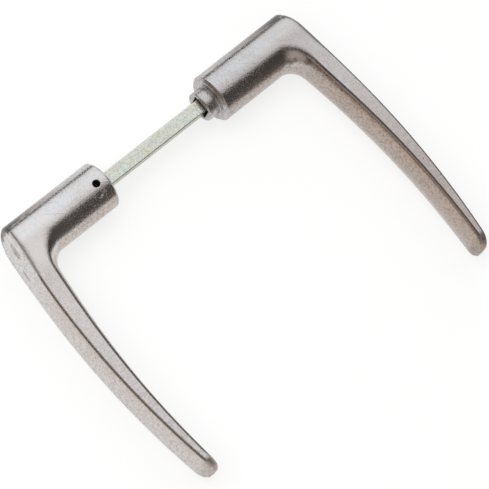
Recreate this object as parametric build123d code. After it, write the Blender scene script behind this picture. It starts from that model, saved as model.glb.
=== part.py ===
from build123d import *
import math
import os

# A pair of cast lever handles joined by one square spindle, as used on both sides of a door.
# Frame: +X runs along the spindle towards the loose lever, +Y runs towards the grip tips and
# +Z is up, on the side of the set screw. The origin is on the spindle's axis, midway between
# the two neck ends. All lengths are in millimetres.

# Casting shared by both levers, measured from its neck end
neck_gap = 61.0
neck_radius = 11.0
neck_reach = 50.0
grip_length = 122.0
grip_half_height = 9.4
outer_face_rise = 5.0
tip_set_in = 0.6
tip_corner_radius = 6.8
top_blend_radius = 300.0
outer_edge_chamfer = 0.9
inner_edge_chamfer = 0.9

# Grip thickness along its top edge, and how far its back swells beyond that at mid height
root_station = 16.0
tip_station = grip_length - 6.5
middle_station = (root_station + tip_station) / 2
root_thickness = 8.7
middle_thickness = 6.3
tip_thickness = 3.6
root_swell = 3.4
middle_swell = 2.7
tip_swell = 1.2

# Inside bend between neck and grip, shaped at levels given as shares of the neck's radius
bend_radius = 8.5
bend_radius_gain = 3.0
flank_inset = 0.03
ridge_inset = 0.9
ridge_sharpness = 8
flank_levels = (-1.09, -0.91, -0.73, -0.36, 0.0, 0.36, 0.73, 0.91, 1.09)

# Neck ends
loose_neck_cut = 1.0
loose_rim_chamfer = 0.8
fixed_rim_chamfer = 1.2
spigot_radius = 6.8
spigot_length = 5.5
spigot_chamfer = 0.4
socket_width = 8.0
socket_depth = 40.0
socket_corner_radius = 0.4
socket_mouth_chamfer = 0.35

# Spindle
spindle_width = 6.0
spindle_length = 122.0
spindle_offset = -2.0
spindle_chamfer = 0.8

# Sleeves between spindle and sockets
sleeve_length = 26.0
sleeve_recess = 3.0
sleeve_slit_width = 4.4
sleeve_fit = 0.01
running_fit = 0.05

# Set screw
screw_radius = 1.65
screw_length = 5.0
screw_setback = 5.9
screw_hex_width = 1.5
screw_hex_depth = 2.0
screw_point_gap = 0.02
screw_end_chamfer = 0.4

# Fixing pin
pin_radius = 1.5
pin_length = 16.0
pin_recess = 0.4
pin_setback = 14.0
pin_end_chamfer = 0.3
pin_hole_end_room = 0.3

# Room left around the casting where a larger block is trimmed
trim_margin = 20.0

# How far a computed point may be from the curve it belongs to
same_place = 0.02


def along_grip(values, y):
    """Value at y along the grip, from its values at the root, middle and tip stations."""
    a, b, c = root_station, middle_station, tip_station
    root, middle, tip = values
    at_root = root * (y - b) * (y - c) / ((a - b) * (a - c))
    at_middle = middle * (y - a) * (y - c) / ((b - a) * (b - c))
    at_tip = tip * (y - a) * (y - b) / ((c - a) * (c - b))
    return at_root + at_middle + at_tip


def outer_face(y):
    """Distance of the outer face from the neck end, an arc in plan."""
    slope = math.atan2(tip_set_in, grip_length)
    half_chord = math.hypot(grip_length, tip_set_in) / 2
    radius = (half_chord**2 + outer_face_rise**2) / (2 * outer_face_rise)
    inset = radius - outer_face_rise
    centre_x = neck_reach - tip_set_in / 2 - inset * math.cos(slope)
    centre_y = grip_length / 2 - inset * math.sin(slope)
    return centre_x + math.sqrt(radius**2 - (y - centre_y) ** 2)


def grip_back(y, z):
    """Distance of the swelling back of the grip from the neck end."""
    thickness = along_grip((root_thickness, middle_thickness, tip_thickness), y)
    swell = along_grip((root_swell, middle_swell, tip_swell), y)
    return outer_face(y) - thickness - swell * (1 - (z / grip_half_height) ** 2)


def plan_block():
    """Everything on the neck's side of the outer face."""
    start = -neck_radius - trim_margin
    end = grip_length + trim_margin
    with BuildSketch(Plane.XY) as plan:
        with BuildLine():
            face = ThreePointArc(
                (outer_face(start), start),
                (outer_face(grip_length / 2), grip_length / 2),
                (outer_face(end), end),
            )
            Polyline(face @ 1, (0, end), (0, start), face @ 0)
        make_face()
    return extrude(plan.sketch, amount=neck_radius + trim_margin, both=True)


def front_block():
    """Outline of the lever seen from its outer face, carried along the neck's axis."""
    meeting = math.sqrt(neck_radius**2 - grip_half_height**2)
    with BuildSketch(Plane.YZ) as front:
        Circle(neck_radius)
        with Locations((grip_length / 2, 0)):
            Rectangle(grip_length, 2 * grip_half_height)
        fillet([v for v in front.vertices() if abs(v.X - meeting) < same_place], top_blend_radius)
        fillet([v for v in front.vertices() if abs(v.X - grip_length) < same_place], tip_corner_radius)
    return extrude(front.sketch, amount=neck_reach + trim_margin)


def bend_section(z):
    """Plan of the inside bend and the grip's back at one height."""
    inside_neck = (neck_reach / 2, -neck_radius / 4)
    behind_face = neck_reach + trim_margin
    past_tip = grip_length + tip_corner_radius
    flank = math.sqrt(max(neck_radius**2 - z**2, 0))
    flank -= flank_inset + ridge_inset * (z / neck_radius) ** ridge_sharpness
    radius = bend_radius + bend_radius_gain * (z / grip_half_height) ** 2
    with BuildSketch(Plane.XY.offset(z)) as section:
        with BuildLine():
            back = ThreePointArc(
                (grip_back(flank, z), flank),
                (grip_back(middle_station, z), middle_station),
                (grip_back(past_tip, z), past_tip),
            )
            Polyline(
                back @ 1,
                (behind_face, past_tip),
                (behind_face, inside_neck[1]),
                inside_neck,
                (inside_neck[0], flank),
                back @ 0,
            )
        make_face()
        corner = section.vertices().sort_by_distance(back @ 0)[0]
        fillet(corner, radius)
    return section.sketch


def lies_on_outer_face(edge):
    """Whether both the start and the middle of an edge are on the outer face."""
    return all(abs(p.X - outer_face(p.Y)) < same_place for p in (edge @ 0, edge @ 0.5))


def plain_lever(neck_start):
    """Casting with its neck end at X = neck_start and its grip at +Y, without a socket."""
    plan = plan_block()
    sections = [bend_section(neck_radius * level) for level in flank_levels]
    grip = (front_block() & plan & loft(sections)).solid()
    long_edges = [e for e in grip.edges() if e.length > grip_length / 2]
    inner_edges = [e for e in long_edges if not lies_on_outer_face(e)]
    grip = chamfer(inner_edges, inner_edge_chamfer).solid()
    neck = extrude(Plane.YZ.offset(neck_start) * Circle(neck_radius), amount=neck_reach + trim_margin)
    body = ((neck & plan) + grip).solid()
    return chamfer([e for e in body.edges() if lies_on_outer_face(e)], outer_edge_chamfer).solid()


def neck_rim(body):
    """Round edge of the neck's end."""
    return body.edges().filter_by(GeomType.CIRCLE).sort_by(Axis.X)[0]


def socket(mouth):
    """Square socket with a chamfered mouth at X = mouth."""
    width = socket_width
    with BuildSketch(Plane.YZ.offset(mouth)) as opening:
        RectangleRounded(width, width, socket_corner_radius)
    hole = extrude(opening.sketch, amount=socket_depth - mouth)
    wide = Plane.YZ.offset(mouth) * Rectangle(
        width + 2 * socket_mouth_chamfer, width + 2 * socket_mouth_chamfer
    )
    flare = extrude(wide, amount=socket_mouth_chamfer, taper=45)
    return hole + flare


def loose_lever():
    body = plain_lever(loose_neck_cut)
    body = chamfer(neck_rim(body), loose_rim_chamfer)
    body -= socket(loose_neck_cut)
    body -= Pos(loose_neck_cut + screw_setback, 0, 0) * Cylinder(
        screw_radius + running_fit,
        neck_radius + trim_margin,
        align=(Align.CENTER, Align.CENTER, Align.MIN),
    )
    return Pos(neck_gap / 2 - loose_neck_cut, 0, 0) * body


def fixed_lever():
    body = plain_lever(0)
    body = chamfer(neck_rim(body), fixed_rim_chamfer)
    spigot = extrude(Plane.YZ * Circle(spigot_radius), amount=-spigot_length)
    spigot = chamfer(spigot.faces().sort_by(Axis.X)[0].edges(), spigot_chamfer)
    body += spigot
    body -= socket(-spigot_length)
    body -= Pos(pin_setback, 0, -neck_radius) * Cylinder(
        pin_radius + sleeve_fit,
        pin_recess + pin_length + pin_hole_end_room,
        align=(Align.CENTER, Align.CENTER, Align.MIN),
    )
    return Pos(-neck_gap / 2, 0, 0) * mirror(body, Plane.YZ)


def square_spindle():
    bar = Pos(spindle_offset, 0, 0) * Box(spindle_length, spindle_width, spindle_width)
    ends = bar.faces().filter_by(Axis.X).edges()
    bar = chamfer(ends, spindle_chamfer)
    pin_hole = Pos(-neck_gap / 2 - pin_setback, 0, 0) * Cylinder(
        pin_radius + sleeve_fit, 2 * spindle_width
    )
    return bar - pin_hole


def sleeve(inner_fit):
    """Slit square sleeve starting at X = 0, open along its top."""
    outer = socket_width - 2 * sleeve_fit
    inner = spindle_width + 2 * inner_fit
    shell = RectangleRounded(outer, outer, socket_corner_radius) - Rectangle(inner, inner)
    slit = Pos(0, outer / 2) * Rectangle(sleeve_slit_width, outer - inner)
    return extrude(Plane.YZ * (shell - slit), amount=sleeve_length)


def loose_sleeve():
    return Pos(neck_gap / 2 + sleeve_recess, 0, 0) * sleeve(running_fit)


def fixed_sleeve():
    start = -neck_gap / 2 + spigot_length - sleeve_recess - sleeve_length
    body = Pos(start, 0, 0) * sleeve(sleeve_fit)
    pin_hole = Pos(-neck_gap / 2 - pin_setback, 0, -neck_radius) * Cylinder(
        pin_radius + sleeve_fit, 2 * neck_radius
    )
    return body - pin_hole


def set_screw():
    body = Cylinder(screw_radius, screw_length, align=(Align.CENTER, Align.CENTER, Align.MIN))
    body = chamfer(body.edges().filter_by(GeomType.CIRCLE), screw_end_chamfer)
    hexagon = RegularPolygon(screw_hex_width / 2, 6, major_radius=False)
    recess = Pos(0, 0, screw_length - screw_hex_depth) * extrude(hexagon, amount=screw_hex_depth)
    body -= recess
    height = spindle_width / 2 + screw_point_gap
    return Pos(neck_gap / 2 + screw_setback, 0, height) * body


def fixing_pin():
    body = Cylinder(pin_radius, pin_length, align=(Align.CENTER, Align.CENTER, Align.MIN))
    body = chamfer(body.edges().filter_by(GeomType.CIRCLE), pin_end_chamfer)
    return Pos(-neck_gap / 2 - pin_setback, 0, -neck_radius + pin_recess) * body


parts = {
    "loose_lever": loose_lever(),
    "fixed_lever": fixed_lever(),
    "square_spindle": square_spindle(),
    "loose_sleeve": loose_sleeve(),
    "fixed_sleeve": fixed_sleeve(),
    "set_screw": set_screw(),
    "fixing_pin": fixing_pin(),
}

os.makedirs("parts", exist_ok=True)
for name, solid in parts.items():
    export_step(solid, f"parts/{name}.step")
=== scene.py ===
"""Looks of the worn lever handle set: metals, table, light and the photograph's view."""

from collections import namedtuple
import math

import bpy
from mathutils import Matrix, Vector


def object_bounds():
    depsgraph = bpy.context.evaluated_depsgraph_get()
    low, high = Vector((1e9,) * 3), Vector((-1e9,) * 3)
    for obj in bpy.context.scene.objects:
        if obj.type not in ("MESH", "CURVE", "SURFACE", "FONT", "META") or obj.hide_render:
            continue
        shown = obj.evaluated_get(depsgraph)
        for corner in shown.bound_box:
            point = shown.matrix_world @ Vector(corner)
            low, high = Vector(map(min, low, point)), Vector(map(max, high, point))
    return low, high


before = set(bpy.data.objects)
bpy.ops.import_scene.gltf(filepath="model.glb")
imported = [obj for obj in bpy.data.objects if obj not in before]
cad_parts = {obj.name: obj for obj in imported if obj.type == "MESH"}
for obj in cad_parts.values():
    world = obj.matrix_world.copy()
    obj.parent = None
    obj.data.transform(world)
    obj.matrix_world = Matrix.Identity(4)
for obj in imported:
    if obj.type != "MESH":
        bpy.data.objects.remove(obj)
cad_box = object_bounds()

# One kind of noise. Its scale is one number, or three for X, Y and Z, and is larger where the
# noise is finer. Start and full are the levels between which the layer that it makes fades in.
# The defaults are those of everything after the scale.
NOISE_DEFAULTS = (0.0, 1.0, 3.0, 0.55, 0.0)
Noise = namedtuple("Noise", "scale start full detail rough warp", defaults=NOISE_DEFAULTS)

# Where a point is on a lever: side of the set, distance from mid spindle, along the grip, height
LeverPlace = namedtuple("LeverPlace", "side away along height")

# Photograph's view, fitted to the outlines of both levers
VIEW_TURN = math.radians(21.76)
VIEW_LEAN = math.radians(7.03)
VIEW_ROLL = math.radians(38.77)
VIEW_DISTANCE = 1.9425
VIEW_TARGET_RIGHT = 0.03684
VIEW_TARGET_UP = -0.04262
VIEW_LENS = 343.7
VIEW_DEPTH = 50.0
SENSOR = 36.0

# White paper that the set lies on
TABLE_HEIGHT = cad_box[0][2]
PAPER_SIZE = 8.0
PAPER_WHITENESS = 0.76
PAPER_CLOUDS = Noise(40, 0.3, 0.7, detail=2.0)
PAPER_TONES = (0.925, 0.94)
BACKDROP = (0.93, 0.93, 0.93, 1)

# White sheet of the studio: its direction, and its tone by how squarely a ray meets it
SHEET_DIRECTION = (-0.501, -0.601, 0.622)
SHEET_TONES = (
    (0.42, (0.074, 0.068, 0.064)),
    (0.50, (0.16, 0.14, 0.13)),
    (0.58, (0.59, 0.55, 0.53)),
    (0.68, (0.88, 0.85, 0.84)),
    (0.84, (1.00, 0.985, 0.985)),
    (0.95, (1.10, 1.135, 1.17)),
)

# Darker room round the sheet: its tones, and the directions between which each one fades in
HORIZON = (-0.01, 0.09)
HORIZON_TONES = (0.10, 1.0)
DIM_END = (-0.93, -0.66)
DIM_END_TONES = (0.21, 1.0)
FAR_WALL = (0.150, 0.125, 0.110, 1)
FAR_WALL_DROP = (0.50, 0.05)
FAR_WALL_SIDE = (0.4, 0.9)
NEAR_WALL_LOW = (0.190, 0.155, 0.125, 1)
NEAR_WALL_HIGH = (0.620, 0.550, 0.490, 1)
NEAR_WALL_RISE = (0.50, 0.74)
NEAR_WALL_START = (0.44, 0.58)
NEAR_WALL_SIDE = (0.4, 0.2)
CORNER_WALL = (0.560, 0.490, 0.440, 1)
CORNER_START = (-0.16, 0.12)
CORNER_SIDE = (0.35, 0.55)

# Soft lamp overhead
LAMP_PLACE = (0.8, -0.4, 1.9)
LAMP_AIM = (0, 0.05, 0)
LAMP_SIZE = 2.2
LAMP_POWER = 39.0
LAMP_COLOUR = (1.0, 1.0, 1.0)

# Low dark cards beside the necks and beside the fixed lever: place, height and length
NECK_CARD = (-0.100, 0.022, 0.5)
LEVER_CARD = (-0.125, 0.016, 0.4)
CARD_CLOUDS = Noise(60, 0.3, 0.7)
CARD_TONES = (0.03, 0.05)
CARD_ROUGHNESS = 0.9
CARD_SHINE = 0.1
CARD_RELIEF = (0.0001, 0.1)

# How bright each casting is, the fixed one darker as painted shade; how dark the painted shade
# in the crease behind its grip; and how far it is soiled and given painted shade on its outer
# chamfer
LOOSE_SHADE_AND_WEAR = (1.0, 0.0, 0.0)
FIXED_SHADE_AND_WEAR = (0.86, 0.75, 1.0)

# Worn casting: warm, cool and dull tones of the same metal, its grain, and the tone of rubbed
# edges and of the painted highlight on the elbow
CAST_WARM = (0.625, 0.590, 0.572, 1)
CAST_COOL = (0.650, 0.640, 0.645, 1)
CAST_DULL = (0.500, 0.465, 0.450, 1)
CAST_GRAIN = (0.720, 0.715, 0.715, 1)
RUBBED_EDGE_AND_HIGHLIGHT = (0.80, 0.79, 0.78, 1)

# Painted shade on the castings, and the film that hands leave on the grips' tops
DOOR_SIDE_PAINTED_SHADE = (0.86, 0.78, 0.715, 1)
WARM_PAINTED_SHADE = (0.94, 0.86, 0.81, 1)
GRIP_FILM = (0.88, 0.82, 0.79, 1)
TOP_EDGE_PAINTED_SHADE = (0.84, 0.77, 0.71, 1)
FAR_SIDE_PAINTED_SHADE = (0.52, 0.46, 0.43, 1)
OUTER_EDGE_PAINTED_SHADE = (0.50, 0.46, 0.43, 1)

# Painted shade in the crease and on the heel, and stains and dirt on the castings
CREASE_PAINTED_SHADE = (0.110, 0.095, 0.085, 1)
HEEL_PAINTED_SHADE = (0.085, 0.075, 0.078, 1)
RUST_SMEAR = (0.17, 0.125, 0.10, 1)
PIT_DIRT = (0.22, 0.175, 0.16, 1)
SCRATCH_DIRT = (0.34, 0.31, 0.29, 1)

# Noise in the castings
CLOUDS = Noise(60, 0.36, 0.64, detail=4.0, warp=0.4)
MOTTLE = Noise(420, 0.44, 0.66)
FINE_MOTTLE = Noise(900, 0.46, 0.60, detail=2.0)
GRAIN = Noise(1150, 0.40, 0.60, rough=0.7)
MATT_GRAIN = Noise(2100, 0.50, 0.60, detail=2.0)
FILE_MARKS = Noise((350, 2400, 350), 0.48, 0.62, detail=2.0)
PIT_PATCHES = Noise(140, 0.50, 0.62)
RUST_FLECKS = Noise(500, 0.37, 0.56, detail=4.0, rough=0.7)
HEEL_FRAY = Noise(300, detail=4.0, rough=0.65)
TOP_SHADE_FRAY = Noise(180)

# Scale of the pits, and their middle and rim as shares of the room round each
PIT_SCALE = 620
PIT_SIZE = (0.04, 0.17)

# Both sets of hairline scratches: turn, scale, thinness and the patches that they lie in
HAIRLINES = (
    ((0.2, 0.1, 0.5), 95, 0.012, Noise(70, 0.55, 0.66, detail=2.0)),
    ((0.1, 0.3, -0.9), 60, 0.008, Noise(55, 0.55, 0.66, detail=2.0)),
)
HAIRLINE_BEND = 9.0
HAIRLINE_DETAIL = 1.0
HAIRLINE_DETAIL_SCALE = 0.35

# Middle and reach of each rust smear, and of the dent by the loose lever's mouth
RUST_SMEARS = (
    ((0.0798, 0.0004, 0.0026), (0.0040, 0.0052, 0.0034)),
    ((0.0809, 0.0105, -0.0030), (0.0040, 0.0036, 0.0016)),
    ((-0.0684, 0.0092, 0.0065), (0.0040, 0.0024, 0.0024)),
)
RUST_SPREAD = (0.05, 0.40)
DENT = ((0.0372, 0.0046, 0.0100), (0.0027, 0.0015, 0.0030))
DENT_SPREAD = (0.0, 0.95)

# Places on a lever in metres, from where a layer starts to where it is full
MACHINED_END = (0.0322, 0.0312)
HOOK_INSIDE_FROM = (0.0311, 0.0318)
ELBOW_AWAY = (0.050, 0.062)
ELBOW_ALONG = (0.017, 0.009)
BRIGHT_ELBOW = (-0.003, 0.004)
GRIP_ROOT = (0.016, 0.030)
HANDLED_GRIP = (0.030, 0.075)
FILED_GRIP = (0.030, 0.080)
POLISHED_GRIP = (0.010, 0.020)
MATT_TIP = (0.1155, 0.1180)
FAR_SIDE = (-0.0074, -0.0088)
FAR_SIDE_AWAY = (0.038, 0.062)
OUTER_EDGE_HEIGHT = (0.0070, 0.0082)
WARM_SHADE_HEIGHT = (-0.012, 0.008)
WARM_SHADE_RAGGEDNESS = 0.006
TOP_EDGE_SHADE_HEIGHT = (0.0070, 0.0088)
TOP_EDGE_SHADE_RAGGEDNESS = 0.0016

# Painted shade on the heel: its start and end from mid spindle, its edge towards the grip, and
# how it narrows and frays
HEEL_START = (0.0580, 0.0740)
HEEL_END = (0.0800, 0.0775)
HEEL_SIDE = (-0.0066, -0.0078)
HEEL_TIP = 0.0797
HEEL_TAPER = 0.12
HEEL_RAGGEDNESS = 0.007

# Painted shade in the crease behind the grip: its top edge, which rises along an arc towards the
# neck, how far below that edge the shade starts and is full, and where along the grip it does so
GRIP_TOP = 0.0094
CREASE_RISE_END = 0.0315
CREASE_ARC_DIAMETER = 0.6
CREASE_DEPTH = (0.00055, 0.00030)
CREASE_ALONG = (0.012, 0.020)

# How far a face looks away from the door, along the grip or up, from where a layer starts to
# where it is full
BACK_SLOPE = (-0.35, -0.75)
BEND_SLOPE = (0.66, 0.84)
CREASE_SLOPE_START = (-0.20, -0.35)
CREASE_SLOPE_END = (-0.80, -0.70)
OUTER_EDGE_SLOPE_START = (0.25, 0.40)
OUTER_EDGE_SLOPE_END = (0.95, 0.85)
UPRIGHT_SLOPE = (0.72, 0.55)

# Strength of each layer of the castings' colour, the tone of its darkest ones, and how far
# mottle and pits are calmed in the elbow
MOTTLE_STRENGTH = 0.42
FINE_MOTTLE_STRENGTH = 0.85
FINE_MOTTLE_TONE = 0.74
GRAIN_STRENGTH = 0.50
DOOR_SIDE_SHADE_STRENGTH = 0.9
FAR_SIDE_STRENGTH = 0.9
FILE_MARK_STRENGTH = 0.40
FILE_MARK_TONE = 0.75
BRIGHT_ELBOW_STRENGTHS = (0.10, 0.60)
RUST_STRENGTH = 0.80
EDGE_STRENGTH = 0.25
PIT_STRENGTH = 0.28
SCRATCH_STRENGTH = 0.35
HEEL_STRENGTH = 0.95
ELBOW_CALM = 0.55

# Roughness of the castings: their polish, and what each layer adds or takes away
POLISH = 0.12
MATT_GRAIN_ROUGHNESS = 0.30
ELBOW_POLISH = 0.18
GRIP_POLISH = 0.05
MACHINED_ROUGHNESS = 0.12
HEEL_ROUGHNESS = 0.10
TIP_ROUGHNESS = 0.30

# Relief of the castings: depth in metres and strength of each layer
CLOUD_RELIEF = (0.00012, 0.5)
DENT_RELIEF = (0.00040, 1.0)
GRAIN_RELIEF = (0.00008, 0.8)
PIT_RELIEF = (0.00010, 0.8)
SCRATCH_RELIEF = (0.00003, 0.6)

# Width of the softened edges in metres, how finely each is worked out, and how closely the
# softened normal follows the true one where rubbing starts and where it is full
EDGE_SOFTNESS = 0.0006
ELBOW_SOFTNESS = 0.0029
BAR_SOFTNESS = 0.0008
STEEL_SOFTNESS = 0.0003
EDGE_SAMPLES = 8
STEEL_EDGE_SAMPLES = 4
RUBBED_FROM = (0.99, 0.90)

# Passivated zinc: yellow and green patches, pale flecks, dark specks and painted shade on the
# sides
ZINC_YELLOW = (0.675, 0.672, 0.550, 1)
ZINC_GREEN = (0.630, 0.710, 0.680, 1)
ZINC_PALE = (0.780, 0.800, 0.740, 1)
ZINC_SPECK = (0.400, 0.380, 0.270, 1)
ZINC_SIDE_PAINTED_SHADE = (0.64, 0.59, 0.50, 1)
ZINC_PATCHES = Noise((170, 330, 330), 0.38, 0.62, warp=0.5)
ZINC_FLECKS = Noise(1500, 0.42, 0.60, detail=2.0)
ZINC_SPECKS = Noise(1100, 0.55, 0.66, rough=0.7)
DRAW_LINES = Noise((90, 3200, 3200), detail=2.0)
FLECK_STRENGTH = 0.55
SPECK_STRENGTH = 0.36
SIDE_STRENGTH = 0.85
BAR_EDGE_STRENGTH = 0.30
BAR_GRAIN = (0.40, 0.60)
BAR_ROUGHNESS = (0.42, 0.22)
BAR_RELIEF = (0.00006, 0.6)

# Small steel pieces: dark and light tone, and lowest and highest roughness
SLEEVE_STEEL = ((0.10, 0.095, 0.09, 1), (0.20, 0.19, 0.18, 1), 0.4, 0.6)
SCREW_STEEL = ((0.012, 0.012, 0.012, 1), (0.03, 0.03, 0.03, 1), 0.45, 0.6)
PIN_STEEL = ((0.42, 0.41, 0.40, 1), (0.58, 0.57, 0.56, 1), 0.3, 0.42)
STEEL_PATCHES = Noise(500, 0.35, 0.65)
STEEL_GRAIN = Noise(2400, 0.40, 0.60)
STEEL_EDGE_STRENGTH = 0.35
STEEL_RELIEF = (0.00006, 0.7)


class Nodes:
    """Short calls for building one node tree."""

    def __init__(self, tree):
        self.tree = tree
        tree.nodes.clear()

    def add(self, kind, links=(), **settings):
        node = self.tree.nodes.new(kind)
        for name, value in settings.items():
            setattr(node, name, value)
        for socket, source in dict(links).items():
            self.plug(node, socket, source)
        return node

    def plug(self, node, socket, source):
        target = node.inputs[socket]
        if isinstance(source, bpy.types.NodeSocket):
            self.tree.links.new(source, target)
        else:
            target.default_value = source

    def place(self, scale, turn=(0, 0, 0)):
        """Object coordinates in metres, turned and scaled."""
        coordinates = self.add("ShaderNodeTexCoord")
        mapping = self.add("ShaderNodeMapping", {
            "Vector": coordinates.outputs["Object"],
            "Rotation": turn,
            "Scale": scale if isinstance(scale, tuple) else (scale, scale, scale),
        })
        return mapping.outputs["Vector"]

    def noise(self, kind):
        node = self.add("ShaderNodeTexNoise", {
            "Vector": self.place(kind.scale), "Scale": 1.0, "Detail": kind.detail,
            "Roughness": kind.rough, "Distortion": kind.warp,
        })
        return node.outputs["Fac"]

    def ramp(self, value, low, high, to_low=0.0, to_high=1.0):
        """Value brought from low..high to to_low..to_high, held at both ends."""
        node = self.add("ShaderNodeMapRange", {
            "Value": value, "From Min": low, "From Max": high,
            "To Min": to_low, "To Max": to_high,
        })
        return node.outputs["Result"]

    def fade(self, value, kind, least=0.0, most=1.0):
        """Noise brought from its two levels to least..most."""
        return self.ramp(value, kind.start, kind.full, least, most)

    def layer(self, kind, least=0.0, most=1.0):
        """Layer that one kind of noise makes."""
        return self.fade(self.noise(kind), kind, least, most)

    def math(self, operation, a, b):
        node = self.add("ShaderNodeMath", operation=operation)
        self.plug(node, 0, a)
        self.plug(node, 1, b)
        return node.outputs["Value"]

    def times(self, a, b):
        return self.math("MULTIPLY", a, b)

    def plus(self, a, b):
        return self.math("ADD", a, b)

    def minus(self, a, b):
        return self.math("SUBTRACT", a, b)

    def mix(self, factor, a, b, blend="MIX"):
        node = self.add("ShaderNodeMix", data_type="RGBA", blend_type=blend)
        self.plug(node, 0, factor)
        self.plug(node, 6, a)
        self.plug(node, 7, b)
        return node.outputs[2]

    def film(self, factor, colour, tint):
        """Colour seen through a thin layer of the given tint."""
        return self.mix(factor, colour, tint, blend="MULTIPLY")

    def grey(self, tone):
        colour = self.add("ShaderNodeCombineColor", {"Red": tone, "Green": tone, "Blue": tone})
        return colour.outputs["Color"]

    def parts(self, vector):
        """X, Y and Z of a vector."""
        return self.add("ShaderNodeSeparateXYZ", {"Vector": vector}).outputs

    def facing(self, normal="Normal"):
        """X, Y and Z of the direction that a face looks in."""
        return self.parts(self.add("ShaderNodeNewGeometry").outputs[normal])

    def bump(self, height, relief, normal=None):
        depth, strength = relief
        links = {"Height": height, "Distance": depth, "Strength": strength}
        if normal is not None:
            links["Normal"] = normal
        return self.add("ShaderNodeBump", links).outputs["Normal"]

    def soft_edges(self, radius, samples):
        """Normal that turns smoothly across each edge."""
        return self.add("ShaderNodeBevel", {"Radius": radius}, samples=samples).outputs["Normal"]

    def rubbed_edges(self, rounded):
        """1 where a softened normal leaves the true one, which is along edges."""
        true = self.add("ShaderNodeNewGeometry").outputs["Normal"]
        meet = self.add("ShaderNodeVectorMath", operation="DOT_PRODUCT")
        self.plug(meet, 0, rounded)
        self.plug(meet, 1, true)
        return self.ramp(meet.outputs["Value"], *RUBBED_FROM)

    def spots(self, scale, middle, rim):
        """Scattered round spots, 1 at their middle."""
        cells = self.add("ShaderNodeTexVoronoi", {"Vector": self.place(scale), "Scale": 1.0})
        return self.ramp(cells.outputs["Distance"], middle, rim, 1.0, 0.0)

    def near(self, centre, reach):
        """1 at a point of the piece, falling to 0 at reach along each axis."""
        place = self.add("ShaderNodeTexCoord").outputs["Object"]
        apart = self.add("ShaderNodeVectorMath", operation="SUBTRACT")
        self.plug(apart, 0, place)
        self.plug(apart, 1, centre)
        share = self.add("ShaderNodeVectorMath", operation="DIVIDE")
        self.plug(share, 0, apart.outputs["Vector"])
        self.plug(share, 1, reach)
        length = self.add("ShaderNodeVectorMath", operation="LENGTH")
        self.plug(length, 0, share.outputs["Vector"])
        return self.ramp(length.outputs["Value"], 0.0, 1.0, 1.0, 0.0)

    def metal(self, colour, roughness, normal, metallic=1.0, specular=0.5):
        shader = self.add("ShaderNodeBsdfPrincipled", {
            "Base Color": colour, "Roughness": roughness, "Normal": normal,
            "Metallic": metallic, "Specular IOR Level": specular,
        })
        self.add("ShaderNodeOutputMaterial", {"Surface": shader.outputs["BSDF"]})


def new_material(name):
    material = bpy.data.materials.new(name)
    material.use_nodes = True
    return material, Nodes(material.node_tree)


def shade(colour, tone):
    return (*(tone * c for c in colour[:3]), 1)


def lever_place(n):
    place = n.parts(n.add("ShaderNodeTexCoord").outputs["Object"])
    away = n.math("ABSOLUTE", place["X"], 0.0)
    return LeverPlace(place["X"], away, place["Y"], place["Z"])


def outwards(n, at, facing):
    """1 on faces that look away from the door, down to -1 on those that look at it."""
    return n.times(facing["X"], n.math("SIGN", at.side, 0.0))


def upright(n):
    """1 on faces that stand upright while the set lies on the table."""
    return n.ramp(n.facing()["Z"], *UPRIGHT_SLOPE)


def lying_flat(n):
    """1 on faces that look up while the set lies on the table."""
    return n.minus(1.0, upright(n))


def fray(n, kind, raggedness):
    """Noise round zero that makes the edge of a layer ragged."""
    return n.times(n.minus(n.noise(kind), 0.5), raggedness)


def hook_inside_mask(n, at):
    """1 on the faces inside the hook that each lever makes, which look at the door or into the
    bend.
    """
    facing = n.facing()
    backs = n.ramp(outwards(n, at, facing), *BACK_SLOPE)
    inner_faces = n.math("MAXIMUM", backs, n.ramp(facing["Y"], *BEND_SLOPE))
    return n.times(inner_faces, n.ramp(at.away, *HOOK_INSIDE_FROM))


def towards_top(n, at, span, raggedness):
    """1 near the top of the grips' upright faces, falling to 0 lower down."""
    frayed_height = n.plus(at.height, fray(n, TOP_SHADE_FRAY, raggedness))
    top = n.ramp(frayed_height, *span)
    return n.times(n.times(top, upright(n)), n.ramp(at.along, *GRIP_ROOT))


def far_side(n, at):
    """1 on the side of the neck that is away from the grip, growing towards the elbow."""
    return n.times(n.ramp(at.along, *FAR_SIDE), n.ramp(at.away, *FAR_SIDE_AWAY))


def outer_edge(n, at):
    """1 on the upper chamfer between the top of each lever and its outer face."""
    slope = outwards(n, at, n.facing("True Normal"))
    start = n.ramp(slope, *OUTER_EDGE_SLOPE_START)
    chamfered = n.times(start, n.ramp(slope, *OUTER_EDGE_SLOPE_END))
    return n.times(chamfered, n.ramp(at.height, *OUTER_EDGE_HEIGHT))


def crease_line(n, at):
    """1 on the upper half of the chamfer along the back of each grip."""
    rise = n.math("MINIMUM", n.minus(at.along, CREASE_RISE_END), 0.0)
    rise = n.math("DIVIDE", n.times(rise, rise), CREASE_ARC_DIAMETER)
    below_top = n.minus(GRIP_TOP, n.minus(at.height, rise))
    slope = outwards(n, at, n.facing("True Normal"))
    chamfered = n.times(n.ramp(slope, *CREASE_SLOPE_START), n.ramp(slope, *CREASE_SLOPE_END))
    upper = n.ramp(below_top, *CREASE_DEPTH)
    return n.times(n.times(chamfered, upper), n.ramp(at.along, *CREASE_ALONG))


def painted_heel_shade(n, at):
    """Painted shade on the heel of each lever, low on the side away from the grip."""
    ragged = fray(n, HEEL_FRAY, HEEL_RAGGEDNESS)
    frayed_away = n.plus(at.away, ragged)
    heel = n.times(n.ramp(frayed_away, *HEEL_START), n.ramp(frayed_away, *HEEL_END))
    taper = n.times(n.minus(HEEL_TIP, at.away), HEEL_TAPER)
    side = n.ramp(n.plus(n.plus(at.along, ragged), taper), *HEEL_SIDE)
    return n.times(heel, side)


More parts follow.
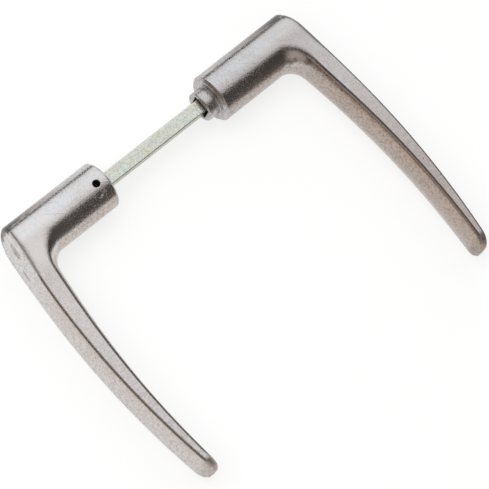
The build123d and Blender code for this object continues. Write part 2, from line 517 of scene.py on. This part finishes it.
def rust_smears(n):
    """Brown smears on the loose lever's outer face and in the fixed lever's bend."""
    smears = n.near(*RUST_SMEARS[0])
    for smear in RUST_SMEARS[1:]:
        smears = n.math("MAXIMUM", smears, n.near(*smear))
    return n.times(n.ramp(smears, *RUST_SPREAD), n.layer(RUST_FLECKS))


def hairlines(n, turn, scale, thin, patches):
    """Short hairline scratches of one direction, in scattered patches."""
    lines = n.add("ShaderNodeTexWave", {
        "Vector": n.place(1, turn), "Scale": scale, "Distortion": HAIRLINE_BEND,
        "Detail": HAIRLINE_DETAIL, "Detail Scale": HAIRLINE_DETAIL_SCALE,
    }, wave_type="BANDS", bands_direction="X")
    crest = n.ramp(lines.outputs["Fac"], 1.0 - thin, 1.0)
    return n.times(crest, n.layer(patches))


def bare_casting(n, tone, clouds, grain, calm):
    """Colour of the clean metal, with clouds, mottle and grain."""
    colour = n.mix(n.fade(clouds, CLOUDS), shade(CAST_WARM, tone), shade(CAST_COOL, tone))
    mottle = n.times(n.layer(MOTTLE, 0.0, MOTTLE_STRENGTH), calm)
    colour = n.mix(mottle, colour, shade(CAST_DULL, tone))
    fine_mottle = n.times(n.layer(FINE_MOTTLE), n.times(upright(n), FINE_MOTTLE_STRENGTH))
    colour = n.mix(fine_mottle, colour, shade(CAST_DULL, FINE_MOTTLE_TONE * tone))
    return n.mix(n.fade(grain, GRAIN, 0.0, GRAIN_STRENGTH), colour, shade(CAST_GRAIN, tone))


def soiled_and_shaded(n, at, colour, tone, soiling_and_shade):
    """Colour under painted shade and the film that hands leave on the grip, with file marks."""
    flat = lying_flat(n)
    # Painted shade on the faces inside the hook that look at the door and into the bend
    colour = n.film(n.times(hook_inside_mask(n, at), DOOR_SIDE_SHADE_STRENGTH), colour, DOOR_SIDE_PAINTED_SHADE)
    # Painted shade: warmer and darker towards the top of the grips' upright faces
    warm_shaded = towards_top(n, at, WARM_SHADE_HEIGHT, WARM_SHADE_RAGGEDNESS)
    colour = n.film(warm_shaded, colour, WARM_PAINTED_SHADE)
    # Painted shade just under the top edge, where the upright faces roll into the crease
    top_edge_shaded = towards_top(n, at, TOP_EDGE_SHADE_HEIGHT, TOP_EDGE_SHADE_RAGGEDNESS)
    colour = n.film(top_edge_shaded, colour, TOP_EDGE_PAINTED_SHADE)
    handled = n.times(n.times(n.ramp(at.along, *HANDLED_GRIP), soiling_and_shade), flat)
    colour = n.film(handled, colour, GRIP_FILM)
    # Painted shade on the neck's far side, deepening towards the elbow
    colour = n.film(n.times(far_side(n, at), FAR_SIDE_STRENGTH), colour, FAR_SIDE_PAINTED_SHADE)
    filed = n.ramp(at.along, *FILED_GRIP, 0.0, FILE_MARK_STRENGTH)
    file_marks = n.times(n.times(n.layer(FILE_MARKS), filed), flat)
    colour = n.mix(file_marks, colour, shade(CAST_DULL, FILE_MARK_TONE * tone))
    # Painted shade along the upper chamfer of the outer face
    return n.film(n.times(outer_edge(n, at), soiling_and_shade), colour, OUTER_EDGE_PAINTED_SHADE)


def casting_roughness(n, at, elbow, shaded_heel):
    """Matt grain on a dull polish, smoother in the elbow and rougher at the tip."""
    matt = n.minus(MATT_GRAIN_ROUGHNESS, n.times(elbow, ELBOW_POLISH))
    matt = n.minus(matt, n.times(n.ramp(at.along, *POLISHED_GRIP), GRIP_POLISH))
    roughness = n.plus(n.times(n.layer(MATT_GRAIN), matt), POLISH)
    machined = n.ramp(at.away, *MACHINED_END)
    roughness = n.plus(roughness, n.times(machined, MACHINED_ROUGHNESS))
    roughness = n.plus(roughness, n.times(shaded_heel, HEEL_ROUGHNESS))
    return n.plus(roughness, n.ramp(at.along, *MATT_TIP, 0.0, TIP_ROUGHNESS))


def casting_relief(n, edges, clouds, grain, pits, scratches):
    """Normal with the casting's waves, its dent, grain, pits and scratches."""
    dent = n.ramp(n.near(*DENT), *DENT_SPREAD)
    normal = n.bump(clouds, CLOUD_RELIEF, edges)
    normal = n.bump(n.minus(1.0, dent), DENT_RELIEF, normal)
    normal = n.bump(grain, GRAIN_RELIEF, normal)
    normal = n.bump(n.minus(1.0, pits), PIT_RELIEF, normal)
    return n.bump(n.minus(1.0, scratches), SCRATCH_RELIEF, normal)


def worn_cast_aluminium(name, tone, crease, soiling_and_shade):
    """Rubbed casting: dull polish, grain, cloudy tarnish, pits and handling scratches."""
    material, n = new_material(name)
    at = lever_place(n)
    elbow = n.times(n.ramp(at.away, *ELBOW_AWAY), n.ramp(at.along, *ELBOW_ALONG))
    softness = n.plus(EDGE_SOFTNESS, n.times(elbow, ELBOW_SOFTNESS))
    edges = n.soft_edges(softness, EDGE_SAMPLES)
    clouds = n.noise(CLOUDS)
    grain = n.noise(GRAIN)
    calm = n.minus(1.0, n.times(elbow, ELBOW_CALM))
    pits = n.times(n.times(n.spots(PIT_SCALE, *PIT_SIZE), n.layer(PIT_PATCHES)), calm)
    scratches = n.math("MAXIMUM", *(hairlines(n, *lines) for lines in HAIRLINES))
    shaded_heel = painted_heel_shade(n, at)
    colour = soiled_and_shaded(n, at, bare_casting(n, tone, clouds, grain, calm), tone, soiling_and_shade)
    # Painted shade along the upper half of the chamfer behind the grip
    colour = n.mix(n.times(crease_line(n, at), crease), colour, CREASE_PAINTED_SHADE)
    # Painted highlight on the top faces of the elbow
    bright = n.ramp(at.along, *BRIGHT_ELBOW, *BRIGHT_ELBOW_STRENGTHS)
    bright = n.times(n.times(elbow, lying_flat(n)), bright)
    colour = n.mix(n.times(bright, 1.0 - soiling_and_shade), colour, RUBBED_EDGE_AND_HIGHLIGHT)
    colour = n.mix(n.times(rust_smears(n), RUST_STRENGTH), colour, RUST_SMEAR)
    colour = n.mix(n.times(n.rubbed_edges(edges), EDGE_STRENGTH), colour, RUBBED_EDGE_AND_HIGHLIGHT)
    colour = n.mix(n.times(pits, PIT_STRENGTH), colour, PIT_DIRT)
    colour = n.mix(n.times(scratches, SCRATCH_STRENGTH), colour, SCRATCH_DIRT)
    # Painted shade on the heel
    colour = n.mix(n.times(shaded_heel, HEEL_STRENGTH), colour, HEEL_PAINTED_SHADE)
    roughness = casting_roughness(n, at, elbow, shaded_heel)
    n.metal(colour, roughness, casting_relief(n, edges, clouds, grain, pits, scratches))
    return material


def zinc_plated_bar():
    """Drawn bar with a clear zinc finish that has gone yellow and green in patches."""
    material, n = new_material("zinc_plated_bar")
    edges = n.soft_edges(BAR_SOFTNESS, EDGE_SAMPLES)
    flecks = n.noise(ZINC_FLECKS)
    colour = n.mix(n.layer(ZINC_PATCHES), ZINC_YELLOW, ZINC_GREEN)
    colour = n.mix(n.fade(flecks, ZINC_FLECKS, 0.0, FLECK_STRENGTH), colour, ZINC_PALE)
    colour = n.mix(n.layer(ZINC_SPECKS, 0.0, SPECK_STRENGTH), colour, ZINC_SPECK)
    # Painted shade on the bar's upright sides
    colour = n.film(n.times(upright(n), SIDE_STRENGTH), colour, ZINC_SIDE_PAINTED_SHADE)
    colour = n.mix(n.times(n.rubbed_edges(edges), BAR_EDGE_STRENGTH), colour, RUBBED_EDGE_AND_HIGHLIGHT)
    roughness = n.ramp(flecks, *BAR_GRAIN, *BAR_ROUGHNESS)
    normal = n.bump(n.noise(DRAW_LINES), BAR_RELIEF, edges)
    n.metal(colour, roughness, n.bump(flecks, BAR_RELIEF, normal))
    return material


def dull_steel(name, dark, light, roughness_low, roughness_high):
    """Small steel piece with grease-dulled patches, bright rubbed edges and fine grain."""
    material, n = new_material(name)
    edges = n.soft_edges(STEEL_SOFTNESS, STEEL_EDGE_SAMPLES)
    grain = n.noise(STEEL_GRAIN)
    colour = n.mix(n.layer(STEEL_PATCHES), dark, light)
    colour = n.mix(n.times(n.rubbed_edges(edges), STEEL_EDGE_STRENGTH), colour, RUBBED_EDGE_AND_HIGHLIGHT)
    roughness = n.fade(grain, STEEL_GRAIN, roughness_low, roughness_high)
    n.metal(colour, roughness, n.bump(grain, STEEL_RELIEF, edges))
    return material


def paint(node, material):
    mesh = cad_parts[node].data
    mesh.materials.clear()
    mesh.materials.append(material)


def flat_square(name, corners, material):
    """Plane that belongs to the studio and not to the set."""
    mesh = bpy.data.meshes.new(name)
    mesh.from_pydata(corners, [], [(0, 1, 2, 3)])
    mesh.materials.append(material)
    square = bpy.data.objects.new(name, mesh)
    bpy.context.collection.objects.link(square)
    return square


def lay_table():
    """White paper under the set, which keeps part of the shadows that fall on it."""
    material, n = new_material("white_paper")
    colour = n.grey(n.layer(PAPER_CLOUDS, *PAPER_TONES))
    sheet = n.add("ShaderNodeBsdfDiffuse", {"Color": colour})
    white = n.add("ShaderNodeEmission", {"Color": (1, 1, 1, 1), "Strength": 1.0})
    rays = n.add("ShaderNodeLightPath").outputs
    seen = n.math("MAXIMUM", rays["Is Camera Ray"], rays["Is Glossy Ray"])
    seen = n.math("MAXIMUM", seen, rays["Is Transmission Ray"])
    blend = n.add("ShaderNodeMixShader")
    n.plug(blend, 0, n.times(seen, PAPER_WHITENESS))
    n.plug(blend, 1, sheet.outputs["BSDF"])
    n.plug(blend, 2, white.outputs["Emission"])
    n.add("ShaderNodeOutputMaterial", {"Surface": blend.outputs["Shader"]})
    half = PAPER_SIZE / 2
    corners = [(-half, -half), (half, -half), (half, half), (-half, half)]
    flat_square("table", [(x, y, TABLE_HEIGHT) for x, y in corners], material)


def card_material():
    """Dull black card."""
    material, n = new_material("dark_card")
    tone = n.layer(CARD_CLOUDS, *CARD_TONES)
    relief = n.bump(tone, CARD_RELIEF)
    n.metal(n.grey(tone), CARD_ROUGHNESS, relief, metallic=0.0, specular=CARD_SHINE)
    return material


def stand_dark_card(name, start, end, height, material):
    """Low upright card between two places on the table, seen only as a thin line in polish."""
    low = TABLE_HEIGHT
    high = TABLE_HEIGHT + height
    corners = [(*start, low), (*end, low), (*end, high), (*start, high)]
    card = flat_square(name, corners, material)
    card.visible_camera = False
    card.visible_shadow = False
    card.visible_diffuse = False


def white_sheet(n, direction):
    """Light of the large white sheet overhead and behind the necks."""
    facing = n.add("ShaderNodeVectorMath", operation="DOT_PRODUCT")
    n.plug(facing, 0, direction)
    n.plug(facing, 1, SHEET_DIRECTION)
    sheet = n.add("ShaderNodeValToRGB", {"Fac": facing.outputs["Value"]})
    ramp = sheet.color_ramp
    ramp.interpolation = "EASE"
    while len(ramp.elements) < len(SHEET_TONES):
        ramp.elements.new(0.5)
    for element, (place, colour) in zip(ramp.elements, SHEET_TONES):
        element.position = place
        element.color = (*colour, 1)
    return sheet.outputs["Color"]


def light_studio():
    """White sheet in a darker room, whose near wall and corner are paler than its far wall."""
    world = bpy.data.worlds.new("studio")
    bpy.context.scene.world = world
    world.use_nodes = True
    n = Nodes(world.node_tree)
    direction = n.add("ShaderNodeTexCoord").outputs["Generated"]
    ray = n.parts(direction)
    above_horizon = n.ramp(ray["Z"], *HORIZON, *HORIZON_TONES)
    dimming = n.times(above_horizon, n.ramp(ray["X"], *DIM_END, *DIM_END_TONES))
    colour = n.film(1.0, white_sheet(n, direction), dimming)
    far = n.times(n.ramp(ray["Z"], *FAR_WALL_DROP), n.ramp(ray["Y"], *FAR_WALL_SIDE))
    colour = n.mix(far, colour, FAR_WALL)
    near_wall = n.mix(n.ramp(ray["Z"], *NEAR_WALL_RISE), NEAR_WALL_LOW, NEAR_WALL_HIGH)
    near = n.times(n.ramp(ray["X"], *NEAR_WALL_START), n.ramp(ray["Y"], *NEAR_WALL_SIDE))
    colour = n.mix(near, colour, near_wall)
    corner = n.times(n.ramp(ray["X"], *CORNER_START), n.ramp(ray["Y"], *CORNER_SIDE))
    colour = n.mix(corner, colour, CORNER_WALL)
    room = n.add("ShaderNodeBackground", {"Color": colour, "Strength": 1.0})
    paper = n.add("ShaderNodeBackground", {"Color": BACKDROP, "Strength": 1.0})
    rays = n.add("ShaderNodeLightPath").outputs
    choose = n.add("ShaderNodeMixShader")
    n.plug(choose, 0, rays["Is Camera Ray"])
    n.plug(choose, 1, room.outputs["Background"])
    n.plug(choose, 2, paper.outputs["Background"])
    n.add("ShaderNodeOutputWorld", {"Surface": choose.outputs["Shader"]})


def hang_lamp(name):
    """Soft square lamp that points at the set and isn't seen in the metal."""
    lamp = bpy.data.lights.new(name, "AREA")
    lamp.shape = "SQUARE"
    lamp.size = LAMP_SIZE
    lamp.energy = LAMP_POWER
    lamp.color = LAMP_COLOUR
    holder = bpy.data.objects.new(name, lamp)
    holder.location = LAMP_PLACE
    aim = Vector(LAMP_AIM) - Vector(LAMP_PLACE)
    holder.rotation_euler = aim.to_track_quat("-Z", "Y").to_euler()
    holder.visible_glossy = False
    bpy.context.collection.objects.link(holder)


def set_camera():
    """Camera at the photograph's angle."""
    turn, lean, roll = VIEW_TURN, VIEW_LEAN, VIEW_ROLL
    back = Vector((
        math.sin(turn),
        math.cos(turn) * math.sin(lean),
        math.cos(turn) * math.cos(lean),
    ))
    across = Vector((
        -math.cos(turn),
        math.sin(turn) * math.sin(lean),
        math.sin(turn) * math.cos(lean),
    ))
    down = Vector((0, math.cos(lean), -math.sin(lean)))
    right = math.cos(roll) * across + math.sin(roll) * down
    up = math.sin(roll) * across - math.cos(roll) * down
    camera = bpy.data.cameras.new("camera")
    camera.lens = VIEW_LENS
    camera.sensor_width = SENSOR
    camera.clip_end = VIEW_DEPTH
    holder = bpy.data.objects.new("camera", camera)
    axes = Matrix((right, up, back)).transposed().to_4x4()
    target = VIEW_TARGET_RIGHT * right + VIEW_TARGET_UP * up
    holder.matrix_world = Matrix.Translation(target + VIEW_DISTANCE * back) @ axes
    bpy.context.collection.objects.link(holder)
    bpy.context.scene.camera = holder


paint("loose_lever", worn_cast_aluminium("loose_casting", *LOOSE_SHADE_AND_WEAR))
# The fixed casting's darker tone, crease line and outer chamfer line are painted shade
paint("fixed_lever", worn_cast_aluminium("fixed_casting", *FIXED_SHADE_AND_WEAR))
paint("square_spindle", zinc_plated_bar())
sleeve_steel = dull_steel("dull_sleeve_steel", *SLEEVE_STEEL)
paint("loose_sleeve", sleeve_steel)
paint("fixed_sleeve", sleeve_steel)
paint("set_screw", dull_steel("black_screw", *SCREW_STEEL))
paint("fixing_pin", dull_steel("bright_pin", *PIN_STEEL))

lay_table()
card = card_material()
place, height, length = NECK_CARD
stand_dark_card("neck_card", (-length / 2, place), (length / 2, place), height, card)
place, height, length = LEVER_CARD
stand_dark_card("lever_card", (place, -length / 2), (place, length / 2), height, card)
light_studio()
hang_lamp("ceiling_lamp")
set_camera()

scene = bpy.context.scene
scene.view_settings.view_transform = "Standard"
